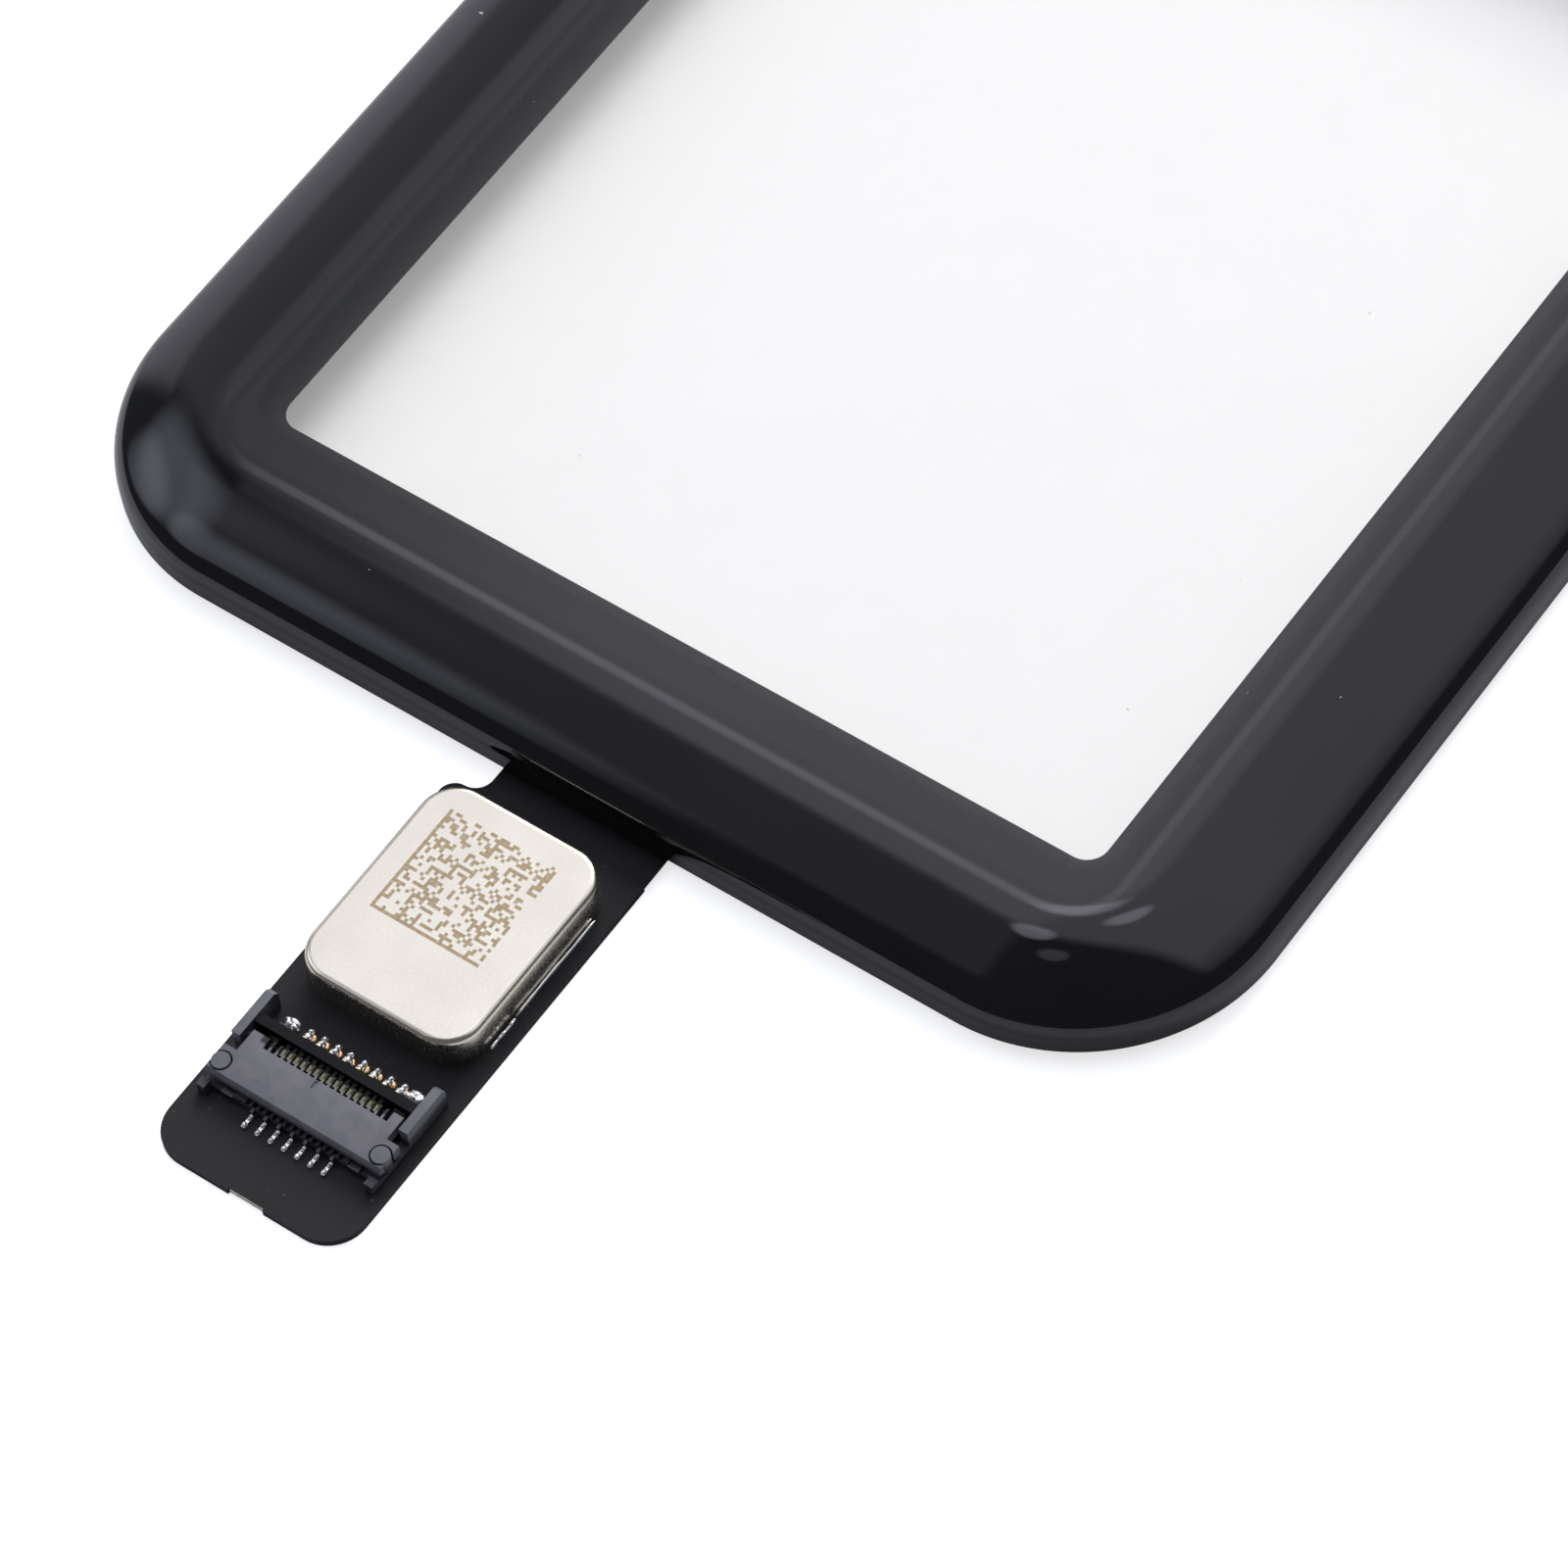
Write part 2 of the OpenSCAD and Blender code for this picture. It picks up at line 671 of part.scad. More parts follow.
cover_glass();
ink_border();
optical_adhesive();
touch_sensor_film();
bond_strip();
flex_circuit();
flex_stiffener();
shield_can();
shield_frame();
shield_solder();
controller_chip();
capacitors();
connector_housing();
connector_actuator();
hold_down(-1);  // hold_down_left
hold_down(1);  // hold_down_right
contact_front(1);  // contact_front_1
contact_front(2);  // contact_front_2
contact_front(3);  // contact_front_3
contact_front(4);  // contact_front_4
contact_front(5);  // contact_front_5
contact_front(6);  // contact_front_6
contact_front(7);  // contact_front_7
contact_rear(1);  // contact_rear_1
contact_rear(2);  // contact_rear_2
contact_rear(3);  // contact_rear_3
contact_rear(4);  // contact_rear_4
contact_rear(5);  // contact_rear_5
contact_rear(6);  // contact_rear_6
contact_rear(7);  // contact_rear_7
contact_rear(8);  // contact_rear_8
front_solder();
rear_solder();
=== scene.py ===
import math
import random

import bmesh
import bpy
from mathutils import Matrix, Vector


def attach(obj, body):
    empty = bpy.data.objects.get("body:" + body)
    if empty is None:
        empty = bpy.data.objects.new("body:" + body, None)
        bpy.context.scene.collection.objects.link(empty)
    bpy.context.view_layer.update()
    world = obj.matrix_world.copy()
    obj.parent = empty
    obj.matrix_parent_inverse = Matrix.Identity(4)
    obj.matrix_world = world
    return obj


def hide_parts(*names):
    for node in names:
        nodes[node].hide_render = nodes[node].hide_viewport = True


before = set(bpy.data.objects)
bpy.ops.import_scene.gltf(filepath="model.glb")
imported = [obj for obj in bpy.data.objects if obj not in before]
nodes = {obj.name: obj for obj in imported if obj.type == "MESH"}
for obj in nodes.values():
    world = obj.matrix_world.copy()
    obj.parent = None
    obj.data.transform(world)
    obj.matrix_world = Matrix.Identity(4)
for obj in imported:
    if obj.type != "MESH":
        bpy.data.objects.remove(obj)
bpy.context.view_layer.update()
MM = 0.001

# camera
AZIMUTH, ELEVATION, ROLL = 43.178, 56.318, -8.98
FOCUS_PX, IMAGE_PX = 7258.4, 1600
DISTANCE = 172.67 * MM
TARGET = Vector((4.035, -16.702, -1.0)) * MM

az, el, roll = (math.radians(a) for a in (AZIMUTH, ELEVATION, ROLL))
back = Vector((math.sin(az) * math.cos(el), -math.cos(az) * math.cos(el), math.sin(el)))
right = Vector((math.cos(az), math.sin(az), 0))
up = back.cross(right)
cam_x = math.cos(roll) * right + math.sin(roll) * up
cam_y = -math.sin(roll) * right + math.cos(roll) * up
camera = bpy.data.objects.new("camera", bpy.data.cameras.new("camera"))
bpy.context.scene.collection.objects.link(camera)
camera.data.sensor_width = 36
camera.data.lens = 36 * FOCUS_PX / IMAGE_PX
camera.data.clip_start = 0.005
camera.data.clip_end = 20
turn = Matrix((cam_x, cam_y, back)).transposed().to_4x4()
camera.matrix_world = Matrix.Translation(TARGET + back * DISTANCE) @ turn
bpy.context.scene.camera = camera
bpy.context.scene.view_settings.view_transform = "Standard"
bpy.context.scene.view_settings.look = "None"

# sizes, in mm, as in the part's source
GLASS_W, GLASS_H, GLASS_T = 33.9, 40.25, 1.0
CORNER_R, CROWN_RUN, CROWN_R, EDGE_R = 5.5, 3.05, 5.0, 0.9
RIM_DEPTH, RIM_LAND, RIM_BEVEL = 1.04, 0.95, 0.1
WINDOW_W, WINDOW_H, WINDOW_R = 24.8, 30.9, 0.6
REAR_Z = 0.2
TOP_Z = REAR_Z + GLASS_T
RIM_Z = REAR_Z - RIM_DEPTH
INK_T, FLEX_GAP, FLEX_T = 0.04, 0.02, 0.1
STIFFENER_T, TAIL_L = 0.1, 13
FLEX_TOP = RIM_Z - INK_T - FLEX_GAP
EDGE_Y = -GLASS_H / 2
CAN_X, CAN_START, CAN_W, CAN_L, CAN_H = -0.08, 1.25, 5.1, 6.3, 1.0
CAN_T, CAN_R, CAN_EDGE_R = 0.12, 1.0, 0.16
CAN_Y = EDGE_Y - CAN_START - CAN_L / 2
CONNECTOR_START, PIVOT_IN = 8.3, 1.18
PIVOT_Y = EDGE_Y - CONNECTOR_START - PIVOT_IN
PITCH, ROW_SHIFT, FRONT_COUNT = 0.2, 0.1, 7
FRONT_LEAD, FRONT_FOOT, REAR_LEAD, REAR_FOOT, COLLAR = 1.51, 0.07, 0.66, 0.03, 0.05
TABLE_Z = FLEX_TOP - FLEX_T - STIFFENER_T

# Round-cornered rectangles on the glass, as half width, half height and corner radius; a painted dark
# reflection line runs along the dark ring and a painted highlight along the light ring
GLOSS_RING = (12.95, 16.0, 1.1)
DARK_RING = (13.28, 17.02, 1.4)
LIGHT_RING = (13.52, 17.27, 1.5)
FLAT_RING = (13.95, 17.1, 1.8)
PRINT_RING = (14.3, 17.4, 1.8)
RING_FADE = 0.25

# The marking on the can: its lower left corner, its width, its cells, and how its random cells are drawn
MARK_X, MARK_Y, MARK_W, CELLS = -1.87, -25.42, 3.27, 34
MARK_SEED, MARK_FILL, CLUMP_SCALE = (17.5, 4.5, 9.5), 0.86, 0.23


# node helpers
class Graph:
    """A material or world node tree with short calls for the nodes used here."""

    def __init__(self, tree):
        self.tree = tree
        tree.nodes.clear()

    def node(self, kind, **settings):
        n = self.tree.nodes.new(kind)
        for key, value in settings.items():
            setattr(n, key, value)
        return n

    def feed(self, socket, value):
        if isinstance(value, bpy.types.NodeSocket):
            self.tree.links.new(value, socket)
        elif value is not None:
            socket.default_value = value

    def math(self, op, a, b=None, c=None, clamp=False):
        n = self.node("ShaderNodeMath", operation=op, use_clamp=clamp)
        for socket, value in zip(n.inputs, (a, b, c)):
            self.feed(socket, value)
        return n.outputs[0]

    def vec(self, op, a, b=None, scale=None):
        n = self.node("ShaderNodeVectorMath", operation=op)
        self.feed(n.inputs[0], a)
        if b is not None:
            self.feed(n.inputs[1], b)
        if scale is not None:
            self.feed(n.inputs["Scale"], scale)
        return n.outputs["Value"] if op in ("DOT_PRODUCT", "LENGTH") else n.outputs[0]

    def ramp(self, value, low, high, to_low=0.0, to_high=1.0, smooth=True):
        n = self.node("ShaderNodeMapRange", interpolation_type="SMOOTHSTEP" if smooth else "LINEAR")
        for socket, v in zip(n.inputs, (value, low, high, to_low, to_high)):
            self.feed(socket, v)
        return n.outputs[0]

    def mix(self, factor, a, b):
        n = self.node("ShaderNodeMix", data_type="RGBA")
        self.feed(n.inputs["Factor"], factor)
        self.feed(n.inputs["A"], a)
        self.feed(n.inputs["B"], b)
        return n.outputs["Result"]

    def place(self):
        return self.node("ShaderNodeTexCoord").outputs["Object"]

    def noise(self, where, scale, detail=3.0, rough=0.5, stretch=None):
        if stretch is not None:
            where = self.vec("MULTIPLY", where, stretch)
        n = self.node("ShaderNodeTexNoise")
        self.feed(n.inputs["Vector"], where)
        n.inputs["Scale"].default_value = scale
        n.inputs["Detail"].default_value = detail
        n.inputs["Roughness"].default_value = rough
        return n.outputs["Fac"]

    def bump(self, height, strength, distance):
        n = self.node("ShaderNodeBump")
        n.inputs["Strength"].default_value = strength
        n.inputs["Distance"].default_value = distance
        self.feed(n.inputs["Height"], height)
        return n.outputs["Normal"]

    def shader(self, **inputs):
        n = self.node("ShaderNodeBsdfPrincipled")
        for key, value in inputs.items():
            self.feed(n.inputs[key.replace("_", " ")], value)
        return n

    def finish(self, surface):
        out = self.node("ShaderNodeOutputMaterial")
        self.tree.links.new(surface, out.inputs["Surface"])


def rgba(r, g, b):
    return (r, g, b, 1.0)


ROUGH_SPAN = 0.12


def material(name):
    m = bpy.data.materials.new(name)
    m.use_nodes = True
    return m, Graph(m.node_tree)


def surface(name, dark, light, rough, metallic=0.0, grain=4000.0, blotch=350.0, bump=0.15, depth=2e-6):
    """Two colours mixed by a soft blotch and a fine grain, with the grain in roughness and relief too."""
    m, g = material(name)
    at = g.place()
    soft = g.noise(at, blotch, 4.0)
    fine = g.noise(at, grain, 3.0, 0.6)
    tone = g.math("ADD", g.math("MULTIPLY", soft, 0.6), g.math("MULTIPLY", fine, 0.4))
    colour = g.mix(g.ramp(tone, 0.3, 0.7), rgba(*dark), rgba(*light))
    roughness = g.ramp(fine, 0.25, 0.75, rough - ROUGH_SPAN / 2, rough + ROUGH_SPAN / 2, smooth=False)
    b = g.shader(Base_Color=colour, Roughness=roughness, Metallic=metallic, Normal=g.bump(fine, bump, depth))
    g.finish(b.outputs[0])
    return m


# materials
def ring_distance(g, at, half_w, half_h, r):
    """Distance in metres outside a rectangle with round corners, in the plane of the glass."""
    size = Vector(((half_w - r) * MM, (half_h - r) * MM, 0))
    flat = g.vec("MULTIPLY", at, (1.0, 1.0, 0.0))
    q = g.vec("SUBTRACT", g.vec("ABSOLUTE", flat), size)
    out = g.vec("LENGTH", g.vec("MAXIMUM", q, (0.0, 0.0, 0.0)))
    return g.math("SUBTRACT", out, r * MM)


def ring_line(g, at, half_w, half_h, r, width, soft):
    """1 on a line round the window and 0 off it."""
    d = g.math("ABSOLUTE", ring_distance(g, at, half_w, half_h, r))
    return g.ramp(d, (width / 2 + soft) * MM, (width / 2) * MM)


def glass_material():
    """Clear over the window; past its edge the glass and the print bonded to its rear are one black gloss,
    with painted shade that darkens it on the crown, a painted dark reflection line and a painted highlight
    line that is weaker towards the left.
    """
    m, g = material("polished_glass")
    at = g.place()
    wipe = g.noise(at, 120.0, 2.0, 0.6, (1.0, 0.35, 1.0))
    gloss = g.ramp(wipe, 0.35, 0.75, 0.006, 0.03)
    body = g.shader(Base_Color=rgba(0.932, 0.926, 0.888), Roughness=gloss, Transmission_Weight=1.0, IOR=1.5)
    clear = g.node("ShaderNodeBsdfTransparent")
    clear.inputs["Color"].default_value = rgba(0.955, 0.953, 0.95)
    path = g.node("ShaderNodeLightPath")
    through = g.math("MAXIMUM", path.outputs["Is Shadow Ray"], path.outputs["Is Diffuse Ray"])
    window = g.node("ShaderNodeMixShader")
    g.feed(window.inputs[0], through)
    g.feed(window.inputs[1], body.outputs[0])
    g.feed(window.inputs[2], clear.outputs[0])
    soft = g.noise(at, 260.0, 4.0)
    crown_shade = g.mix(g.ramp(soft, 0.3, 0.7), rgba(0.0032, 0.0033, 0.0038), rgba(0.0050, 0.0051, 0.0058))
    level = g.mix(g.ramp(soft, 0.3, 0.7), rgba(0.0100, 0.0101, 0.0103), rgba(0.0120, 0.0120, 0.0122))
    # Painted shade: the backing is darker on the crown than on the flat.
    near = g.ramp(ring_distance(g, at, *FLAT_RING), RING_FADE * MM, -RING_FADE * MM)
    backing_tone = g.mix(near, crown_shade, level)
    # Painted reflection: a dark line along the dark ring.
    backing_tone = g.mix(ring_line(g, at, *DARK_RING, 0.10, 0.12), backing_tone, rgba(0.0060, 0.0060, 0.0062))
    xyz = g.node("ShaderNodeSeparateXYZ")
    g.feed(xyz.inputs[0], at)
    # Painted highlight: a light line along the light ring, weaker towards the left.
    highlight_line = g.math("MULTIPLY", ring_line(g, at, *LIGHT_RING, 0.06, 0.14),
                  g.ramp(xyz.outputs[0], -13.0 * MM, -8.0 * MM, 0.12, 1.0))
    backing_tone = g.mix(highlight_line, backing_tone, rgba(0.034, 0.034, 0.034))
    backed = g.shader(Base_Color=backing_tone, Roughness=gloss, IOR=1.5)
    reach = g.ramp(xyz.outputs[2], (TOP_Z - 0.4) * MM, (TOP_Z - 0.1) * MM, 0.6 * MM, 0.0)
    outside = g.ramp(g.math("SUBTRACT", ring_distance(g, at, *GLOSS_RING), reach), -0.14 * MM, 0.14 * MM)
    mix = g.node("ShaderNodeMixShader")
    g.feed(mix.inputs[0], outside)
    g.feed(mix.inputs[1], window.outputs[0])
    g.feed(mix.inputs[2], backed.outputs[0])
    g.finish(mix.outputs[0])
    return m


def ink_material():
    m, g = material("printed_ink")
    at = g.place()
    fine = g.noise(at, 9000.0, 3.0, 0.6)
    soft = g.noise(at, 260.0, 4.0)
    base = g.mix(g.ramp(soft, 0.3, 0.7), rgba(0.0035, 0.0036, 0.0042), rgba(0.0055, 0.0056, 0.0064))
    # Painted shade: the print is darker on the crown than on the flat.
    flat = g.ramp(ring_distance(g, at, *PRINT_RING), RING_FADE * MM, -RING_FADE * MM)
    base = g.mix(flat, base, rgba(0.010, 0.0102, 0.0105))
    edge = g.ramp(ring_distance(g, at, WINDOW_W / 2, WINDOW_H / 2, WINDOW_R), 0.16 * MM, 0.02 * MM)
    base = g.mix(edge, base, rgba(0.016, 0.011, 0.008))
    b = g.shader(Base_Color=base, Roughness=g.ramp(fine, 0.3, 0.7, 0.48, 0.56), Specular_IOR_Level=0.12)
    g.finish(b.outputs[0])
    return m


def clear_layer(name, tint, alpha, rough):
    m, g = material(name)
    at = g.place()
    haze = g.noise(at, 800.0, 2.0, 0.6)
    colour = g.mix(haze, rgba(*[0.8 * c for c in tint]), rgba(*tint))
    b = g.shader(Base_Color=colour, Roughness=rough, Alpha=alpha, IOR=1.45, Specular_IOR_Level=0.0)
    g.finish(b.outputs[0])
    return m


def sensor_material():
    """Clear film; its bare ledge at the bottom carries fine printed tracks on the rear."""
    m, g = material("sensor_film")
    at = g.place()
    haze = g.noise(at, 700.0, 2.0, 0.6)
    part = g.node("ShaderNodeSeparateXYZ")
    g.feed(part.inputs[0], at)
    margin = g.ramp(ring_distance(g, at, WINDOW_W / 2 + 0.1, WINDOW_H / 2 + 0.1, WINDOW_R), 0.0, 0.03 * MM)
    wave = g.node("ShaderNodeTexWave", wave_type="BANDS", bands_direction="X")
    g.feed(wave.inputs["Vector"], at)
    wave.inputs["Scale"].default_value = 3200.0
    track = g.math("MULTIPLY", margin, g.ramp(wave.outputs["Fac"], 0.45, 0.65))
    colour = g.mix(haze, rgba(0.050, 0.050, 0.050), rgba(0.075, 0.074, 0.073))
    colour = g.mix(track, colour, rgba(0.55, 0.50, 0.40))
    alpha = g.math("ADD", g.math("MULTIPLY", haze, 0.01), g.math("MULTIPLY", track, 0.55))
    b = g.shader(Base_Color=colour, Roughness=0.18, Alpha=g.math("ADD", alpha, 0.015), IOR=1.45)
    g.finish(b.outputs[0])
    return m


def flex_material(name, tracks):
    """Matt black coverlay with a fine tooth, faint dust and the relief of tracks under it, and painted shade
    that darkens it towards the can and the glass.
    """
    m, g = material(name)
    at = g.place()
    fine = g.noise(at, 14000.0, 2.0, 0.6)
    soft = g.noise(at, 500.0, 5.0, 0.6)
    base = g.mix(g.ramp(soft, 0.3, 0.72), rgba(0.0120, 0.0120, 0.0126), rgba(0.0180, 0.0177, 0.0180))
    xyz = g.node("ShaderNodeSeparateXYZ")
    g.feed(xyz.inputs[0], at)
    # Painted shade: the coverlay is darker towards the can and the glass.
    base = g.mix(g.ramp(xyz.outputs[1], -29.5 * MM, -26.0 * MM), base, rgba(0.0075, 0.0075, 0.0090))
    dust = g.ramp(g.noise(at, 5200.0, 1.0), 0.74, 0.80)
    base = g.mix(g.math("MULTIPLY", dust, 0.35), base, rgba(0.11, 0.11, 0.115))
    height = g.math("MULTIPLY", fine, 0.35)
    if tracks:
        wave = g.node("ShaderNodeTexWave", wave_type="BANDS", bands_direction="X")
        g.feed(wave.inputs["Vector"], at)
        wave.inputs["Scale"].default_value = 1600.0
        wave.inputs["Distortion"].default_value = 0.6
        height = g.math("ADD", height, g.math("MULTIPLY", g.ramp(wave.outputs["Fac"], 0.4, 0.6), 0.5))
    b = g.shader(Base_Color=base, Roughness=g.ramp(soft, 0.3, 0.7, 0.5, 0.62), Specular_IOR_Level=0.22,
                 Normal=g.bump(height, 0.35, 2e-6))
    g.finish(b.outputs[0])
    return m


def can_material():
    """Satin plated steel with a generic marking of random cells inside an L-shaped border."""
    m, g = material("can_plating")
    at = g.place()
    cloud = g.noise(at, 420.0, 4.0)
    fine = g.noise(at, 11000.0, 3.0, 0.6)
    base = g.mix(g.ramp(cloud, 0.3, 0.7), rgba(0.655, 0.612, 0.515), rgba(0.715, 0.670, 0.568))
    cell = MARK_W * MM / CELLS
    local = g.vec("SUBTRACT", at, (MARK_X * MM, MARK_Y * MM, 0.0))
    grid = g.vec("SCALE", g.vec("MULTIPLY", local, (1.0, 1.0, 0.0)), scale=1.0 / cell)
    snap = g.vec("FLOOR", grid)
    white = g.node("ShaderNodeTexWhiteNoise", noise_dimensions="3D")
    g.feed(white.inputs["Vector"], g.vec("ADD", snap, MARK_SEED))
    clump = g.math("MULTIPLY", g.noise(snap, CLUMP_SCALE, 1.0), 0.5)
    dot = g.math("GREATER_THAN", g.math("ADD", white.outputs["Value"], clump), MARK_FILL)
    xyz = g.node("ShaderNodeSeparateXYZ")
    g.feed(xyz.inputs[0], grid)
    x, y = xyz.outputs[0], xyz.outputs[1]
    across = g.math("MULTIPLY", g.math("GREATER_THAN", x, 0.0), g.math("LESS_THAN", x, float(CELLS)))
    along = g.math("MULTIPLY", g.math("GREATER_THAN", y, 0.0), g.math("LESS_THAN", y, float(CELLS)))
    inside = g.math("MULTIPLY", across, along)
    border = g.math("MAXIMUM", g.math("LESS_THAN", x, 1.0), g.math("LESS_THAN", y, 1.0))
    z = g.node("ShaderNodeSeparateXYZ")
    g.feed(z.inputs[0], at)
    on_top = g.math("GREATER_THAN", z.outputs[2], (FLEX_TOP + CAN_H - 0.01) * MM)
    inked = g.math("MULTIPLY", g.math("MULTIPLY", inside, on_top), g.math("MAXIMUM", dot, border))
    worn = g.ramp(g.noise(at, 9000.0, 2.0), 0.25, 0.55, 0.72, 1.0)
    inked = g.math("MULTIPLY", inked, worn)
    base = g.mix(inked, base, rgba(0.33, 0.255, 0.155))
    rough = g.math("ADD", g.ramp(fine, 0.3, 0.7, 0.22, 0.30), g.math("MULTIPLY", inked, 0.1))
    b = g.shader(Base_Color=base, Metallic=1.0, Roughness=rough, Normal=g.bump(fine, 0.025, 1e-6))
    g.finish(b.outputs[0])
    return m


# Where the contacts change: in front of the pivot, and above the flex, where painted shade starts
SILVER_FROM, SILVER_TO = 0.9, 1.3
STEP_LOW, STEP_HIGH, BEAM_LOW, BEAM_HIGH = 0.09, 0.15, 0.27, 0.33


def contact_material():
    """Plated spring metal: gold in the mouth and silvery in front; a painted shadow darkens the risen step of
    the front leads, and painted shade darkens the beams that rise to the flap, which are also rougher.
    """
    m, g = material("contact_plating")
    at = g.place()
    fine = g.noise(at, 9000.0, 3.0, 0.6)
    xyz = g.node("ShaderNodeSeparateXYZ")
    g.feed(xyz.inputs[0], at)
    gold = g.mix(g.ramp(fine, 0.3, 0.7), rgba(0.80, 0.56, 0.26), rgba(0.97, 0.82, 0.52))
    silver = g.mix(g.ramp(fine, 0.3, 0.7), rgba(0.72, 0.70, 0.66), rgba(0.92, 0.90, 0.86))
    front = g.ramp(xyz.outputs[1], (PIVOT_Y - SILVER_FROM) * MM, (PIVOT_Y - SILVER_TO) * MM)
    colour = g.mix(front, gold, silver)
    # Painted shadow: the front leads' step, where it rises from the flex, is nearly black.
    risen = g.ramp(xyz.outputs[2], (FLEX_TOP + STEP_LOW) * MM, (FLEX_TOP + STEP_HIGH) * MM)
    step_shadow = g.math("MULTIPLY", front, risen)
    colour = g.mix(step_shadow, colour, rgba(0.05, 0.05, 0.05))
    # Painted shade: the beams that rise to the flap are darker, nearly black behind the pivot under the roof.
    raised = g.ramp(xyz.outputs[2], (FLEX_TOP + BEAM_LOW) * MM, (FLEX_TOP + BEAM_HIGH) * MM)
    under = g.ramp(xyz.outputs[1], (PIVOT_Y + 0.02) * MM, (PIVOT_Y + 0.08) * MM)
    beam_shade = g.mix(under, rgba(0.18, 0.168, 0.10), rgba(0.02, 0.02, 0.018))
    colour = g.mix(raised, colour, beam_shade)
    rough = g.math("ADD", g.ramp(fine, 0.25, 0.75, 0.2, 0.32), g.math("MULTIPLY", raised, 0.2))
    b = g.shader(Base_Color=colour, Metallic=1.0, Roughness=rough, Normal=g.bump(fine, 0.2, 2e-6))
    g.finish(b.outputs[0])
    return m


GLOW_SEEN, GLOW_THROUGH = 0.70, 0.25


def floor_material():
    """A pale light table: lit paper that glows a little wherever the camera looks at it."""
    m, g = material("pale_floor")
    at = g.place()
    soft = g.noise(at, 8.0, 3.0)
    fine = g.noise(at, 900.0, 3.0)
    path = g.node("ShaderNodeLightPath")
    glow = g.math("MAXIMUM", g.math("MULTIPLY", path.outputs["Is Camera Ray"], GLOW_SEEN),
                  g.math("MULTIPLY", path.outputs["Is Transmission Ray"], GLOW_THROUGH))
    colour = g.mix(soft, rgba(0.92, 0.92, 0.92), rgba(0.94, 0.94, 0.94))
    b = g.shader(Base_Color=colour, Roughness=g.ramp(fine, 0.3, 0.7, 0.65, 0.75),
                 Emission_Color=rgba(1.0, 1.0, 1.0), Emission_Strength=glow, Specular_IOR_Level=0.2)
    g.finish(b.outputs[0])
    m.cycles.emission_sampling = "NONE"
    return m


def plastic(name, dark, light, shaded):
    """Moulded plastic with a fine glass-fibre mottle; shaded gives how deep in shadow a place lies."""
    m, g = material(name)
    at = g.place()
    mottle = g.noise(at, 2600.0, 4.0, 0.6)
    fine = g.noise(at, 16000.0, 2.0)
    colour = g.mix(g.ramp(mottle, 0.3, 0.7), rgba(*dark), rgba(*light))
    xyz = g.node("ShaderNodeSeparateXYZ")
    g.feed(xyz.inputs[0], at)
    depth = shaded(g, *xyz.outputs)
    colour = g.mix(depth, colour, rgba(0.006, 0.006, 0.0075))
    b = g.shader(Base_Color=colour, Roughness=g.ramp(mottle, 0.3, 0.7, 0.36, 0.5),
                 Specular_IOR_Level=g.ramp(depth, 0.0, 1.0, 0.5, 0.12), Normal=g.bump(fine, 0.12, 1e-6))
    g.finish(b.outputs[0])
    return m


# Half widths of the roof between the arms and of the comb in the flap
ROOF_HALF, COMB_HALF = 2.42, 2.0


def housing_shade(g, x, y, z):
    """The roof between the arms, and all that lies low, is painted dark as shade."""
    inside = g.ramp(g.math("ABSOLUTE", x), ROOF_HALF * MM, (ROOF_HALF - 0.06) * MM)
    behind = g.ramp(y, (PIVOT_Y - 0.6) * MM, (PIVOT_Y - 0.3) * MM)
    low = g.ramp(z, (FLEX_TOP + 0.55) * MM, (FLEX_TOP + 0.30) * MM)
    return g.math("MAXIMUM", g.math("MULTIPLY", inside, behind), g.math("MULTIPLY", low, 0.6))


def flap_shade(g, x, y, z):
    """The comb's teeth lie in the shadow of the roof."""
    inside = g.ramp(g.math("ABSOLUTE", x), COMB_HALF * MM, (COMB_HALF - 0.1) * MM)
    return g.math("MULTIPLY", inside, g.ramp(y, (PIVOT_Y - 0.17) * MM, (PIVOT_Y - 0.05) * MM, 0.0, 0.85))


GLASS = glass_material()
INK = ink_material()
ADHESIVE = clear_layer("clear_adhesive", (0.6, 0.6, 0.59), 0.010, 0.2)
FILM = sensor_material()
BOND = surface("bond_resin", (0.20, 0.15, 0.08), (0.32, 0.25, 0.14), 0.4)
FLEX = flex_material("flex_coverlay", True)
STIFFENER = flex_material("stiffener_sheet", False)
CAN = can_material()
FRAME = surface("plated_frame", (0.55, 0.53, 0.50), (0.70, 0.68, 0.64), 0.35, metallic=1.0)
SOLDER = surface("solder", (0.80, 0.80, 0.79), (0.97, 0.97, 0.95), 0.22, metallic=0.75, grain=6000.0,
                 blotch=2500.0, bump=0.5, depth=6e-6)
CHIP = surface("chip_body", (0.012, 0.012, 0.013), (0.03, 0.03, 0.032), 0.5)
CERAMIC = surface("ceramic", (0.30, 0.22, 0.15), (0.42, 0.33, 0.24), 0.45)
HOUSING = plastic("housing_plastic", (0.090, 0.093, 0.106), (0.118, 0.121, 0.135), housing_shade)
FLAP = plastic("flap_plastic", (0.096, 0.095, 0.112), (0.124, 0.121, 0.140), flap_shade)
CONTACT = contact_material()
DUST = surface("dust", (0.32, 0.32, 0.33), (0.62, 0.62, 0.60), 0.9)
PAPER = floor_material()
FRINGE = surface("flex_core", (0.52, 0.56, 0.44), (0.75, 0.80, 0.68), 0.6)

# Painted light: a lit copy of the solder, lighter and more mirror-like, for the rear joints and the bead by
# the can.
LIT_SOLDER = surface("solder_lit_copy", (0.90, 0.90, 0.89), (0.99, 0.99, 0.98), 0.2, metallic=0.92, grain=6000.0,
                 blotch=2500.0, bump=0.3, depth=4e-6)
